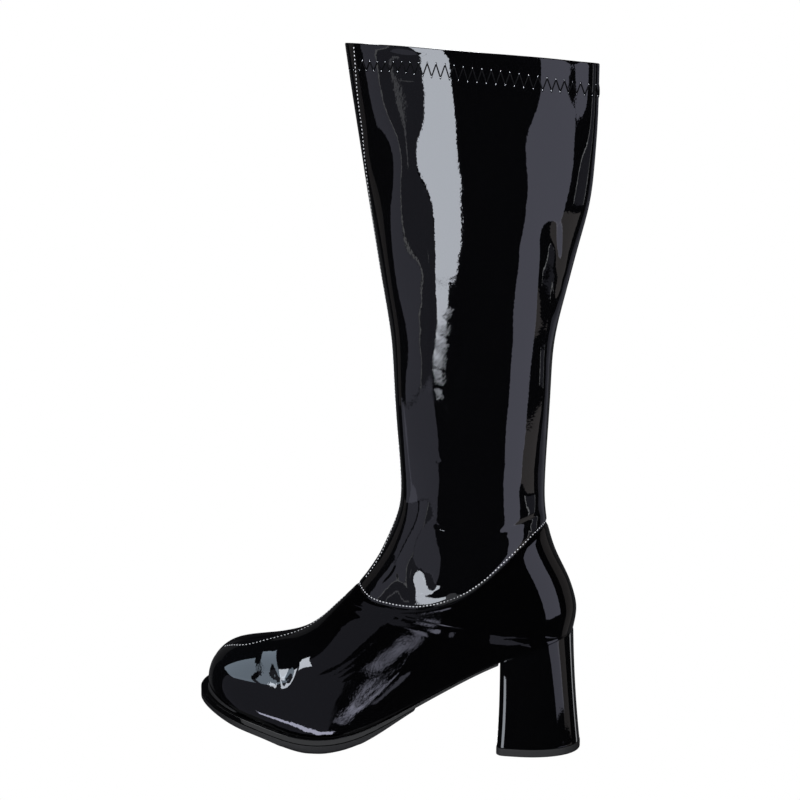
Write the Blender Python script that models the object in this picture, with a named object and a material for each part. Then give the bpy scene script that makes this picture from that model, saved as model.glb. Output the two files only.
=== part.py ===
"""Go-go boot for the left foot, standing on its sole.

Metres, +Z up. The toe points to -X, the outer side faces -Y and the inner side +Y. The origin is under
the middle of the boot, on the ground. The tables below are in millimetres for a last of the nominal
sizes, and the driving sizes stretch them along, across and up.
"""

import bpy
import bmesh
import numpy as np

# Driving sizes, in millimetres
SOLE_LENGTH = 251.0
BALL_WIDTH = 92.0
BOOT_HEIGHT = 441.7
WALL = 1.6
GAP = 0.3
INSOLE_THICKNESS = 2.6
INSOLE_CLEARANCE = 1.1
LIFT_THICKNESS = 5.4
LIFT_EDGE = 0.9
LIFT_OVERHANG = 0.3

# The sizes that the tables were drawn for
NOMINAL_LENGTH = 251.0
NOMINAL_WIDTH = 92.0
NOMINAL_HEIGHT = 441.7

ALONG = SOLE_LENGTH / NOMINAL_LENGTH
ACROSS = BALL_WIDTH / NOMINAL_WIDTH
UP = BOOT_HEIGHT / NOMINAL_HEIGHT
METRES = 0.001

OUTER = -1
INNER = 1

# The footprint of the last, from the toe to the back of the heel
TOE_X = -120.2
HEEL_X = 117.3
TOE_SWING = 7.0
TOE_ROUND = 31.0
TOE_POWER = 2.3
HEEL_ROUND = 27.0
HEEL_POWER = 2.1
TOE_BLEND_ROWS = 4.0

# station, x, outer half width, inner half width, how far the sole's rim stands out
FOOTPRINT = [
    ("toe", -121.0, 25.0, 32.0, 6.6),
    ("toe corner", -106.0, 30.6, 34.4, 5.8),
    ("toe box", -86.0, 36.6, 38.0, 5.0),
    ("inner ball", -62.0, 40.6, 41.0, 4.4),
    ("outer ball", -42.0, 41.2, 39.6, 4.2),
    ("ball back", -22.0, 38.8, 34.6, 3.6),
    ("waist front", 0.0, 34.2, 28.2, 2.4),
    ("waist", 22.0, 30.4, 25.0, 1.4),
    ("waist back", 48.0, 28.4, 25.4, 1.0),
    ("heel front", 75.0, 28.4, 27.4, 0.8),
    ("heel middle", 97.0, 28.6, 28.4, 0.8),
    ("heel", 118.0, 28.0, 28.0, 0.8),
]

# station, x, height of the sole's top, thickness of the midsole, thickness of the outsole
PROFILE = [
    ("rim tip", -128.5, 30.0, 3.3, 3.6),
    ("toe", -110.0, 26.2, 3.4, 3.8),
    ("toe box", -90.0, 20.7, 3.5, 4.6),
    ("ball front", -72.0, 15.8, 3.6, 4.6),
    ("ball", -57.0, 11.9, 3.6, 5.9),
    ("ball middle", -44.0, 10.4, 3.6, 6.5),
    ("ball back", -30.0, 11.0, 3.6, 6.2),
    ("waist front", -12.0, 15.4, 3.4, 5.0),
    ("arch", 5.0, 23.4, 2.8, 3.0),
    ("skived end", 22.0, 33.0, 2.2, 1.2),
    ("waist", 40.0, 43.4, 1.8, 1.2),
    ("waist back", 58.0, 53.7, 1.5, 1.2),
    ("breast", 74.0, 61.9, 1.4, 1.2),
    ("seat", 92.0, 69.2, 1.7, 1.2),
    ("seat back", 107.0, 74.6, 1.7, 1.2),
    ("heel", 121.0, 78.6, 1.7, 1.2),
]
OUTSOLE_END_X = 21.0
FLAT_START_X = -52.0
FLAT_END_X = -31.0

# The tread's lower edge: how far it is drawn in under the rim, and where its slanted part ends
TREAD_DRAW_IN = 1.5
TREAD_SLANT_SHARE = 0.25

# Sections of the foot, each from its top on the ridge down to the feather edge on both sides.
# name, top x, top z, top y, end x, outer half width, inner half width, squareness, lean
FOOT = [
    ("feather edge", -120.2, 28.0, 7.0, -92.0, 35.4, 37.4, 2.35, 0.0),
    ("toe wall", -120.8, 36.6, 6.8, -90.0, 37.0, 38.4, 2.4, 0.0),
    ("toe", -119.0, 45.0, 6.4, -87.0, 38.2, 39.2, 2.4, 0.0),
    ("toe shoulder", -114.4, 52.0, 5.8, -83.0, 39.2, 39.8, 2.4, 0.0),
    ("toe top", -106.5, 57.0, 5.0, -78.0, 40.0, 40.4, 2.35, 0.0),
    ("toe box", -95.0, 60.2, 4.0, -71.0, 40.9, 41.2, 2.3, 0.0),
    ("vamp front", -80.0, 63.0, 2.8, -61.0, 41.8, 42.2, 2.2, 0.0),
    ("ball", -65.5, 66.6, 1.6, -46.0, 42.4, 42.2, 2.15, 0.0),
    ("vamp", -55.5, 70.8, 0.8, -24.0, 41.6, 40.4, 2.1, 0.06),
    ("waist front", -48.5, 75.4, 0.2, 0.0, 38.8, 36.9, 2.07, 0.28),
    ("arch", -43.4, 79.6, 0.0, 24.0, 35.2, 33.4, 2.14, 0.39),
    ("shank", -39.6, 83.2, 0.0, 49.0, 32.3, 30.9, 2.22, 0.38),
    ("heel front", -36.8, 86.0, 0.0, 75.0, 31.0, 30.2, 2.22, 0.31),
    ("heel side", -34.6, 88.2, 0.0, 95.0, 31.2, 30.9, 2.14, 0.32),
    ("heel round", -32.8, 90.0, 0.0, 108.5, 31.5, 31.2, 2.06, 0.49),
]

# Sections of the leg, each a closed ring from the front edge round to the back edge.
# name, front x, front z, back x, back z, outer half width, inner half width, squareness, lean
LEG = [
    ("heel back", -31.0, 91.8, 117.3, 78.2, 31.6, 31.4, 1.99, 0.6),
    ("counter", -28.0, 94.8, 119.0, 86.0, 31.5, 31.4, 1.88, 0.52),
    ("counter top", -24.2, 98.8, 119.3, 93.8, 31.5, 31.4, 1.8, 0.45),
    ("over the heel", -19.2, 104.4, 117.5, 102.0, 31.3, 31.3, 1.75, 0.39),
    ("ankle front", -12.8, 113.0, 113.4, 113.4, 31.2, 31.2, 1.71, 0.32),
    ("ankle low", -6.4, 123.4, 107.4, 125.4, 30.9, 30.9, 1.76, 0.28),
    ("ankle", -0.6, 135.4, 102.2, 137.6, 30.6, 30.5, 1.89, 0.26),
    ("ankle top", 5.2, 150.0, 99.4, 151.6, 30.6, 30.5, 2.0, 0.17),
    ("leg foot", 7.5, 168.0, 98.4, 169.4, 30.6, 30.6, 2.0, 0.14),
    ("leg narrow", 6.0, 198.4, 99.6, 200.0, 30.8, 30.8, 2.0, 0.1),
    ("calf low", 4.3, 229.0, 101.0, 231.0, 31.2, 31.2, 1.95, 0.1),
    ("calf", 1.8, 259.4, 103.2, 261.0, 31.8, 31.8, 1.95, 0.1),
    ("calf high", -3.4, 290.0, 109.8, 290.6, 32.2, 32.2, 1.95, 0.1),
    ("upper calf", -8.8, 321.6, 117.2, 320.0, 32.2, 32.2, 1.9, 0.08),
    ("below the knee", -13.6, 350.0, 123.6, 346.0, 31.8, 31.8, 1.9, 0.05),
    ("knee", -18.2, 379.0, 126.4, 372.0, 31.2, 31.2, 1.9, 0.03),
    ("under the hem", -22.8, 408.0, 127.8, 398.4, 30.6, 30.6, 1.9, 0.0),
    ("topline", -27.8, 441.7, 128.2, 428.4, 30.0, 30.0, 1.9, 0.0),
]

# The seam between the foot and the leg, seen from the side: x, z
SEAM = [
    ("instep", -24.0, 104.5),
    ("instep side", -14.0, 96.4),
    ("dip front", -2.0, 93.2),
    ("dip", 14.0, 92.2),
    ("dip back", 30.0, 94.4),
    ("rise", 48.0, 101.2),
    ("quarter", 64.0, 112.0),
    ("quarter back", 82.0, 129.2),
    ("back seam", 102.0, 147.6),
]
SEAM_BELOW = 0.15
SEAM_ABOVE = 0.36

# Levels of the heel: share of its height, breast x, back x, outer half width, inner half width
HEEL = [
    ("foot", 0.0, 71.9, 122.8, 25.8, 25.8),
    ("flare", 0.12, 72.4, 121.8, 25.3, 25.3),
    ("middle", 0.45, 73.2, 119.6, 25.0, 25.0),
    ("neck", 0.8, 73.6, 118.2, 26.3, 26.1),
    ("seat", 1.0, 73.8, 117.8, 28.0, 27.6),
]
HEEL_BACK_ROUND = 37.0
HEEL_BACK_POWER = 2.05
BREAST_ROUND = 4.5

# How finely each form is cut, and how near two places are taken as one
COLUMNS = 17
FOOT_STEPS = [0, 1, 2, 3, 4, 5, 6, 6.5, 7, 7.5, 8, 8.4, 8.8, 9.2, 9.6, 10, 10.4, 10.8, 11.2, 11.6, 12,
              12.4, 12.8, 13.2, 13.6, 14, 14.35, 14.65, 14.87, 15]
SEAM_ROWS = 5
SHAFT_ROWS = 24
PLATE_STATIONS = 36
HEEL_STATIONS = 18
SEAM_HALVINGS = 40
TOUCHING = 0.01
SHARP_ANGLE = 40.0


def smooth_curve(knots, values):
    """A natural cubic spline through the values, held at its end values outside the knots."""
    knots = np.asarray(knots, float)
    values = np.asarray(values, float)
    count = len(knots)
    gaps = np.diff(knots)
    matrix = np.eye(count)
    right = np.zeros(count)
    for i in range(1, count - 1):
        matrix[i, i - 1:i + 2] = gaps[i - 1], 2 * (gaps[i - 1] + gaps[i]), gaps[i]
        rise = (values[i + 1] - values[i]) / gaps[i]
        right[i] = 6 * (rise - (values[i] - values[i - 1]) / gaps[i - 1])
    bend = np.linalg.solve(matrix, right)

    def curve(place):
        place = min(max(place, knots[0]), knots[-1])
        i = int(np.clip(np.searchsorted(knots, place) - 1, 0, count - 2))
        a = (knots[i + 1] - place) / gaps[i]
        b = (place - knots[i]) / gaps[i]
        flex = (a ** 3 - a) * bend[i] + (b ** 3 - b) * bend[i + 1]
        return a * values[i] + b * values[i + 1] + flex * gaps[i] ** 2 / 6

    return curve


def column_curve(table, key, value):
    """A smooth curve of one column of a table against another."""
    return smooth_curve([row[key] for row in table], [row[value] for row in table])


outer_width = column_curve(FOOTPRINT, 1, 2)
inner_width = column_curve(FOOTPRINT, 1, 3)
rim_width = column_curve(FOOTPRINT, 1, 4)
sole_top = column_curve(PROFILE, 1, 2)
midsole_thickness = column_curve(PROFILE, 1, 3)
outsole_thickness = column_curve(PROFILE, 1, 4)
seam_height = column_curve(SEAM, 1, 2)


def round_off(distance, length, power):
    """Share of the full width that a rounded end has at a distance from its tip."""
    if distance >= length:
        return 1.0
    inside = max(0.0, 1 - distance / length)
    return max(0.0, 1 - inside ** power) ** (1 / power)


def no_rim(x):
    """The footprint of the last itself."""
    return 0.0


def inside_wall(x):
    """The insole's edge, inside the upper's wall."""
    return -(WALL + INSOLE_CLEARANCE)


def footprint(x, side, rim=no_rim):
    """The y of the footprint's edge at x on one side, with a rim that stands out round it."""
    toe_x = TOE_X - rim(TOE_X)
    heel_x = HEEL_X + rim(HEEL_X)
    width = (outer_width(x) if side == OUTER else inner_width(x)) + rim(x)
    toe_share = round_off(x - toe_x, TOE_ROUND + rim(TOE_X), TOE_POWER)
    heel_share = round_off(heel_x - x, HEEL_ROUND + rim(HEEL_X), HEEL_POWER)
    if toe_share < 1:
        return TOE_SWING + (side * width - TOE_SWING) * toe_share
    return side * width * heel_share


def feather_height(x):
    """Where the upper's lower edge and the insole sit, just above the sole's top."""
    return sole_top(x) + GAP


# Every section has the same columns: the two tables are read as one along the row number
CLOSING_ROW = len(FOOT)
LAST_ROW = len(FOOT) + len(LEG) - 1
top_rows = [row[1:4] for row in FOOT] + [(row[1], row[2], 0.0) for row in LEG]
shape_rows = [row[5:9] for row in FOOT] + [row[5:9] for row in LEG]
row_numbers = list(range(LAST_ROW + 1))
top_curves = [smooth_curve(row_numbers, [row[axis] for row in top_rows]) for axis in range(3)]
shape_curves = [smooth_curve(row_numbers, [row[part] for row in shape_rows]) for part in range(4)]
foot_end = smooth_curve(list(range(CLOSING_ROW + 1)), [row[4] for row in FOOT] + [HEEL_X])
leg_numbers = list(range(CLOSING_ROW, LAST_ROW + 1))
back_x = smooth_curve(leg_numbers, [row[3] for row in LEG])
back_z = smooth_curve(leg_numbers, [row[4] for row in LEG])


def section_point(row, share):
    """A point of the last's surface: row along the tables, share from -1 (outer end) over the top to 1."""
    side = OUTER if share < 0 else INNER
    top_x, top_z, top_y = (curve(row) for curve in top_curves)
    outer, inner, power, lean = (curve(row) for curve in shape_curves)
    if row < CLOSING_ROW:
        end_x = min(foot_end(row), HEEL_X)
        end_z = feather_height(end_x)
        end_y = abs(footprint(end_x, side))
    else:
        end_x = back_x(row)
        end_z = back_z(row)
        end_y = 0.0
    width = max(outer if side == OUTER else inner, end_y * 1.001)
    reach = end_y / width
    end_cos = -(1 - reach ** power) ** (1 / power)
    angle = np.arctan2(reach, end_cos) * abs(share)
    radius = (abs(np.cos(angle)) ** power + abs(np.sin(angle)) ** power) ** (-1 / power)
    down = (1 - radius * np.cos(angle)) / (1 - end_cos)
    down = down + lean * down * (1 - down)
    x = top_x + (end_x - top_x) * down
    y = top_y * (1 - down) + side * width * radius * np.sin(angle)
    z = top_z + (end_z - top_z) * down
    return np.array([x, y, z])


def last_point(row, share):
    """The outer surface: near the toe the sections ease into the footprint's own curve."""
    point = section_point(row, share)
    if row < TOE_BLEND_ROWS:
        side = OUTER if share < 0 else INNER
        edge = section_point(0, share)
        ease = (1 - row / TOE_BLEND_ROWS) ** 2
        point[1] += (footprint(edge[0], side) - edge[1]) * ease
        if row == 0:
            point[2] = feather_height(point[0])
    return point


def surface_normal(row, share):
    """The outward direction of the outer surface."""
    step_row = 0.05
    step_share = 0.01
    low_row = max(row - step_row, 0.0)
    high_row = min(row + step_row, LAST_ROW)
    low_share = max(share - step_share, -1.0)
    high_share = min(share + step_share, 1.0)
    along = last_point(high_row, share) - last_point(low_row, share)
    if row >= CLOSING_ROW and abs(share) == 1:
        around = last_point(row, step_share - 1) - last_point(row, 1 - step_share)
    else:
        around = last_point(row, high_share) - last_point(row, low_share)
    normal = np.cross(along, around)
    return normal / np.linalg.norm(normal)


def seam_row(share, shift):
    """The row at which the surface crosses the foot and leg seam, moved up by the shift."""
    low = float(CLOSING_ROW)
    high = float(LAST_ROW)
    for _ in range(SEAM_HALVINGS):
        middle = (low + high) / 2
        x, _, z = last_point(middle, share)
        if z < seam_height(x) + shift:
            low = middle
        else:
            high = middle
    return (low + high) / 2


def feather_inside(point, share, row):
    """The inner side of the wall at the feather edge, level with the sole's top."""
    normal = surface_normal(row, share)
    flat = np.array([normal[0], normal[1], 0.0])
    inside = point - WALL * flat / np.linalg.norm(flat)
    inside[2] = feather_height(inside[0])
    return inside


def world(point):
    """A table point as a place in metres, stretched to the driving sizes."""
    x, y, z = point
    return (x * ALONG * METRES, y * ACROSS * METRES, z * UP * METRES)


def finish(name, mesh_maker, color, roughness):
    """An object of its own with its own material, shaded smooth, from a function that fills a bmesh."""
    mesh = bpy.data.meshes.new(name)
    form = bmesh.new()
    mesh_maker(form)
    bmesh.ops.recalc_face_normals(form, faces=form.faces)
    form.to_mesh(mesh)
    form.free()
    mesh.shade_smooth()
    mesh.set_sharp_from_angle(angle=np.radians(SHARP_ANGLE))
    material = bpy.data.materials.new(name)
    material.use_nodes = True
    shader = material.node_tree.nodes["Principled BSDF"]
    shader.inputs["Base Color"].default_value = (*color, 1.0)
    shader.inputs["Roughness"].default_value = roughness
    mesh.materials.append(material)
    item = bpy.data.objects.new(name, mesh)
    bpy.context.scene.collection.objects.link(item)
    return item


def skin_wall(form, rows, shares, closing_step):
    """A wall between an outer and an inner skin. rows[i][j] is the row number of grid point i, j.

    From closing_step on, the first and the last column meet at the back.
    """
    count = len(shares)
    skins = []
    for inner in (False, True):
        skin = []
        for i, line in enumerate(rows):
            points = []
            for j, share in enumerate(shares):
                if i >= closing_step and j == count - 1:
                    points.append(points[0])
                    continue
                point = last_point(line[j], share)
                at_feather = line[j] == 0 or (line[j] <= CLOSING_ROW and abs(share) == 1)
                if inner and at_feather:
                    point = feather_inside(point, share, line[j])
                elif inner:
                    point = point - WALL * surface_normal(line[j], share)
                points.append(form.verts.new(world(point)))
            skin.append(points)
        skins.append(skin)

    for skin in skins:
        for i in range(len(rows) - 1):
            for j in range(count - 1):
                corners = [skin[i][j], skin[i][j + 1], skin[i + 1][j + 1], skin[i + 1][j]]
                form.faces.new(list(dict.fromkeys(corners)))

    outside, inside = skins
    rims = [(0, j, 0, j + 1) for j in range(count - 1)]
    top = len(rows) - 1
    rims += [(top, j, top, j + 1) for j in range(count - 1)]
    for column in (0, count - 1):
        rims += [(i, column, i + 1, column) for i in range(closing_step)]
    for i, j, k, m in rims:
        form.faces.new([outside[i][j], outside[k][m], inside[k][m], inside[i][j]])


def column_shares():
    """Even steps from the outer end over the ridge to the inner end."""
    return [j / COLUMNS for j in range(-COLUMNS, COLUMNS + 1)]


def make_upper(form):
    """The foot part, from the feather edge up to the seam."""
    shares = column_shares()
    rows = [[float(step)] * len(shares) for step in FOOT_STEPS]
    tops = [seam_row(share, -SEAM_BELOW) for share in shares]
    for i in range(1, SEAM_ROWS + 1):
        rows.append([CLOSING_ROW + (top - CLOSING_ROW) * i / SEAM_ROWS for top in tops])
    skin_wall(form, rows, shares, FOOT_STEPS.index(CLOSING_ROW))


def make_shaft(form):
    """The leg part, from the seam up to the topline."""
    shares = column_shares()
    starts = [seam_row(share, SEAM_ABOVE) for share in shares]
    rows = []
    for i in range(SHAFT_ROWS + 1):
        rows.append([start + (LAST_ROW - start) * i / SHAFT_ROWS for start in starts])
    skin_wall(form, rows, shares, 0)


def stations(start, end, count, start_round, end_round):
    """Places from start to end, closer together at a rounded end."""
    places = []
    for i in range(count + 1):
        share = i / count
        if start_round and end_round:
            share = (1 - np.cos(np.pi * share)) / 2
        elif start_round:
            share = 1 - np.cos(np.pi * share / 2)
        elif end_round:
            share = np.sin(np.pi * share / 2)
        places.append(start + (end - start) * share)
    return places


def plate(form, levels):
    """A closed body from levels, lowest first. A level is a list of (x, outer y, inner y, z) stations.

    A station whose two sides meet has one vertex.
    """
    rings = []
    for level in levels:
        ring = []
        for x, outer, inner, z in level:
            first = form.verts.new(world((x, outer, z)))
            second = first if inner - outer < TOUCHING else form.verts.new(world((x, inner, z)))
            ring.append((first, second))
        rings.append(ring)
    last = len(rings[0]) - 1

    def add(corners):
        corners = list(dict.fromkeys(corners))
        if len(corners) > 2:
            form.faces.new(corners)

    for ring in (rings[0], rings[-1]):
        for i in range(last):
            add([ring[i][0], ring[i + 1][0], ring[i + 1][1], ring[i][1]])
    for low, high in zip(rings, rings[1:]):
        for i in range(last):
            for side in (0, 1):
                add([low[i][side], low[i + 1][side], high[i + 1][side], high[i][side]])
        for end in (0, last):
            add([low[end][0], low[end][1], high[end][1], high[end][0]])


def sole_level(places, rim, height):
    """One level of a plate that follows the footprint."""
    return [(x, footprint(x, OUTER, rim), footprint(x, INNER, rim), height(x)) for x in places]


def midsole_under(x):
    """Height of the midsole's lower face."""
    return sole_top(x) - midsole_thickness(x)


def outsole_top(x):
    """Height of the outsole's upper face."""
    return midsole_under(x) - GAP


def outsole_under(x):
    """Height of the tread, level with the ground under the ball."""
    if FLAT_START_X <= x <= FLAT_END_X:
        return 0.0
    return max(0.0, outsole_top(x) - outsole_thickness(x))


def make_insole(form):
    """The board and sock that the foot stands on."""
    rim = inside_wall
    places = stations(TOE_X - rim(TOE_X), HEEL_X + rim(HEEL_X), PLATE_STATIONS, True, True)
    low = sole_level(places, rim, feather_height)
    high = sole_level(places, rim, lambda x: feather_height(x) + INSOLE_THICKNESS)
    plate(form, [low, high])


def make_midsole(form):
    """The plate whose rim stands out round the forefoot, up to the heel's breast."""
    end = HEEL[-1][2] - GAP
    places = stations(TOE_X - rim_width(TOE_X), end, PLATE_STATIONS, True, False)
    low = sole_level(places, rim_width, midsole_under)
    high = sole_level(places, rim_width, sole_top)
    plate(form, [low, high])


def tread_rim(x):
    """The tread's lower edge, drawn in under the rim."""
    return rim_width(x) - TREAD_DRAW_IN


def outsole_slant_top(x):
    """Height up to which the tread's edge slants outwards."""
    return outsole_under(x) + TREAD_SLANT_SHARE * outsole_thickness(x)


def make_outsole(form):
    """The tread plate, skived out in the arch."""
    places = stations(TOE_X - rim_width(TOE_X), OUTSOLE_END_X, PLATE_STATIONS, True, False)
    lower = stations(TOE_X - tread_rim(TOE_X), OUTSOLE_END_X, PLATE_STATIONS, True, False)
    low = sole_level(lower, tread_rim, outsole_under)
    edge = sole_level(places, rim_width, outsole_slant_top)
    high = sole_level(places, rim_width, outsole_top)
    plate(form, [low, edge, high])


def heel_half_width(place, start, end, width):
    """Half width of the heel's outline at a place between its breast and its back."""
    near = min(place - start, BREAST_ROUND)
    corner = width - BREAST_ROUND + np.sqrt(BREAST_ROUND ** 2 - (BREAST_ROUND - near) ** 2)
    return corner * round_off(end - place, HEEL_BACK_ROUND, HEEL_BACK_POWER)


def heel_level(row, height):
    """One level of the heel from its row in the table."""
    _, _, start, end, outer, inner = row
    level = []
    for x in stations(start, end, HEEL_STATIONS, True, True):
        half = [heel_half_width(x, start, end, width) for width in (outer, inner)]
        level.append((x, -half[0], half[1], height(x)))
    return level


def make_heel(form):
    """The covered block, from the tip up to the seat of the last."""
    foot = LIFT_THICKNESS + GAP
    levels = []
    for row in HEEL:
        levels.append(heel_level(row, lambda x, share=row[1]: foot + (sole_top(x) - foot) * share))
    plate(form, levels)


def make_lift(form):
    """The tip under the heel, with its lower edge taken off."""
    name, share, start, end, outer, inner = HEEL[0]
    levels = []
    for out, height in ((-LIFT_EDGE, 0.0), (LIFT_OVERHANG, LIFT_EDGE), (LIFT_OVERHANG, LIFT_THICKNESS)):
        outline = (name, share, start - out, end + out, outer + out, inner + out)
        levels.append(heel_level(outline, lambda x, height=height: height))
    plate(form, levels)


for old in list(bpy.data.objects):
    bpy.data.objects.remove(old)

finish("upper", make_upper, (0.012, 0.012, 0.014), 0.08)
finish("shaft", make_shaft, (0.012, 0.012, 0.014), 0.08)
finish("insole", make_insole, (0.05, 0.045, 0.04), 0.7)
finish("midsole", make_midsole, (0.015, 0.015, 0.016), 0.3)
finish("outsole", make_outsole, (0.02, 0.02, 0.02), 0.55)
finish("heel", make_heel, (0.012, 0.012, 0.014), 0.1)
finish("top_lift", make_lift, (0.02, 0.02, 0.02), 0.5)
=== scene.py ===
"""Go-go boot, left foot: its looks, light and camera.

Sizes are in millimetres and turned into metres where a mesh or an object is made. The toe points to -X, the
outer side faces -Y and the ground is at z = 0, as in the frame.
"""

import math

import bmesh
import bpy
import numpy as np
from mathutils import Matrix, Vector
from mathutils.bvhtree import BVHTree


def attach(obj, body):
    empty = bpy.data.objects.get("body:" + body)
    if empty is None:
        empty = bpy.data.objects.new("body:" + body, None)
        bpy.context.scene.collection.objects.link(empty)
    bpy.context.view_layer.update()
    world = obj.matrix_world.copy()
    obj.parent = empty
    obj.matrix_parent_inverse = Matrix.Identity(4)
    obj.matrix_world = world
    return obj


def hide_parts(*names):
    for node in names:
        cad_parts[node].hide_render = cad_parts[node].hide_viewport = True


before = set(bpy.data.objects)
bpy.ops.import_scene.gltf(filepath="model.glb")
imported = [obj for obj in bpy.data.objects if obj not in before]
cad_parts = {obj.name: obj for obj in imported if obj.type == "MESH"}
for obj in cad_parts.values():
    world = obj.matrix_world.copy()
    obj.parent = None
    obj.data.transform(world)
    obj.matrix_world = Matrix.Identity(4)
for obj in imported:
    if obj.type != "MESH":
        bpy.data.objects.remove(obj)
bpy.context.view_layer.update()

MM = 0.001
OUTER = -1
FAR_OFF = 300

# Camera, in the photograph's place
CAMERA_PLACE = (192.5, -1055.2, 388.7)
CAMERA_AIM = (6.4, 0.0, 221.4)
CAMERA_LENS = 77.4

# Studio lights: name, azimuths, elevations, glow and colour. They stand far away, round the boot's middle.
LIGHT_DISTANCE = 6000.0
LIGHT_AIM = (40.0, 0.0, 220.0)
COOL = (0.94, 0.96, 1.0)
WARM = (1.0, 0.93, 0.92)
KEY_COLOR = (0.86, 0.91, 1.0)
GREY = (0.78, 0.79, 1.0)
PALE_BLUE = (0.68, 0.83, 1.0)
LEG_LIGHTS = [
    ("key", -125.0, -106.0, -5.8, 40.0, 10.4, KEY_COLOR),
    ("key_low", -125.0, -111.0, -9.2, -5.8, 10.4, KEY_COLOR),
    ("charcoal", -143.5, -125.0, -11.8, 30.0, 0.22, GREY),
    ("thin_line", -144.5, -143.5, -11.8, 20.0, 1.3, COOL),
    ("faint_line", -134.6, -133.6, -3.0, 20.0, 0.8, COOL),
    ("left_grey", -160.0, -144.5, -11.8, 30.0, 0.62, GREY),
    ("far_left", -196.0, -175.0, -11.8, 30.0, 0.14, WARM),
    ("low_left", -178.0, -127.0, -40.0, -12.0, 0.6, GREY),
    ("grey_card", -62.0, -26.0, -40.0, 30.0, 1.6, GREY),
    ("right_line", -9.0, -7.8, -11.5, 20.0, 2.4, COOL),
    ("right_dim", -7.8, 8.0, -11.5, 30.0, 0.2, GREY),
    ("second_line", 8.0, 9.2, -11.5, 20.0, 1.6, COOL),
    ("low_brown", -26.0, 8.0, -40.0, -14.0, 0.5, WARM),
    ("far_right", 25.0, 60.0, -40.0, 30.0, 0.2, GREY),
]
FOOT_LIGHTS = [
    ("heel_card", -40.0, -10.0, -5.0, 14.0, 1.4, GREY),
    ("heel_brown", 8.0, 38.0, -30.0, 30.0, 0.2, WARM),
]
# Cards and strips close to the boot, beside it (ends as x, z) or over the toe (ends as x, y): name, where,
# both ends, width, glow and colour
BESIDE = -136.0
OVER = 90.0
STRIP_STEP = 0.05
ANKLE_STRIPS = [
    ("card", "beside", (-530, 85), (-330, 85), 64, 0.5, GREY),
]
FOOT_STRIPS = [
    ("card_low", "beside", (-432, -28), (-33, -28), 184, 0.25, GREY),
    ("card_1", "beside", (-432, 73), (-35, 73), 18, 0.25, GREY),
    ("card_2", "beside", (-432, 90), (-41, 90), 16, 0.25, GREY),
    ("card_3", "beside", (-432, 105), (-49, 105), 14, 0.25, GREY),
    ("card_4", "beside", (-432, 119), (-57, 119), 14, 0.25, GREY),
    ("card_5", "beside", (-432, 193), (-72, 193), 134, 0.25, GREY),
    ("brush_1", "beside", (-18, -30), (-5, 12), 14, 4.2, GREY),
    ("brush_2", "beside", (-5, 12), (-3, 40), 12, 3.4, GREY),
    ("brush_3", "beside", (-3, 40), (-8, 62), 11, 2.6, GREY),
    ("brush_4", "beside", (-10, 78), (-23, 99), 14, 2.1, GREY),
    ("brush_5", "beside", (-21, 96), (-34, 95), 6, 1.3, GREY),
    ("brush_6", "beside", (11, 0), (14, 35), 5, 0.9, GREY),
    ("brush_7", "beside", (14, 35), (12, 50), 5, 0.9, GREY),
    ("flare_1", "beside", (-136, -22), (-92, -22), 10, 9.0, GREY),
    ("flare_2", "beside", (-92, -22), (-24, -52), 10, 9.0, GREY),
    ("smear_1", "beside", (58, 32), (88, 35), 10, 0.45, GREY),
    ("smear_2", "beside", (88, 35), (130, 54), 10, 0.45, GREY),
    ("toe_box", "over", (-148, -45), (-99.5, -45), 53, 3.4, PALE_BLUE),
    ("toe_wedge", "over", (-95.5, -39), (-88.5, -39), 65, 3.4, PALE_BLUE),
    ("toe_key", "over", (-102, -138), (-84, -52), 7, 12.0, KEY_COLOR),
    ("toe_spot", "over", (-75, -51), (-60.5, -51), 22, 12.0, KEY_COLOR),
]
HEEL_LIGHTS = [
    ("key", -127.0, -104.0, -30.0, 40.0, 6.0, KEY_COLOR),
    ("card", -29.0, -7.0, -26.0, -15.5, 1.1, GREY),
    ("glint", -20.0, -6.0, -12.6, -9.0, 1.6, GREY),
    ("brown", -9.0, 12.0, -26.0, -14.5, 0.3, WARM),
    ("thin_line", 40.0, 46.0, -25.0, 0.0, 1.8, COOL),
]
TRIM_LIGHTS = [
    ("key", -125.0, -106.0, -10.0, 45.0, 5.0, COOL),
    ("top", -150.0, -30.0, 50.0, 85.0, 2.0, COOL),
    ("right_card", -60.0, -20.0, -20.0, 30.0, 1.5, COOL),
    ("low_card", -130.0, -60.0, -26.0, -12.0, 0.9, COOL),
]
PUCKER_LIGHTS = [
    ("key", -125.0, -106.0, -10.0, 45.0, 90.0, KEY_COLOR),
]
ALL_ROUND_LIGHTS = [
    ("far_key", 97.0, 103.0, -35.0, 40.0, 8.0, COOL),
    ("far_card", 118.0, 150.0, -35.0, 30.0, 0.05, COOL),
    ("far_side", 40.0, 75.0, -35.0, 30.0, 0.05, COOL),
]

# How the frame's meshes are cleaned, made fine and rounded
MERGE = 0.02
SHARP = math.radians(48)
FIT_ROUNDS = 5
SKIN_LEVELS = 3
EDGE_SEGMENTS = 3
PLATE_LEVELS = 2

# Heights between which the walls' open edges lie
ANKLE_HEIGHTS = (0, 200)
COLLAR_HEIGHTS = (86, 200)
TOPLINE_HEIGHTS = (300, 500)

# Hem at the topline, measured down from it
TOPLINE_FRONT = (-27.8, 441.7)
TOPLINE_BACK = (128.2, 428.4)
HEM_FOLD = 21.0
HEM_ROWS = 12
HEM_THICKNESS = 1.2
LIP_THICKNESS = 1.1
ROLL_STEPS = 4
LINING_THICKNESS = 0.5
LINING_LEVELS = 2

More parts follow.
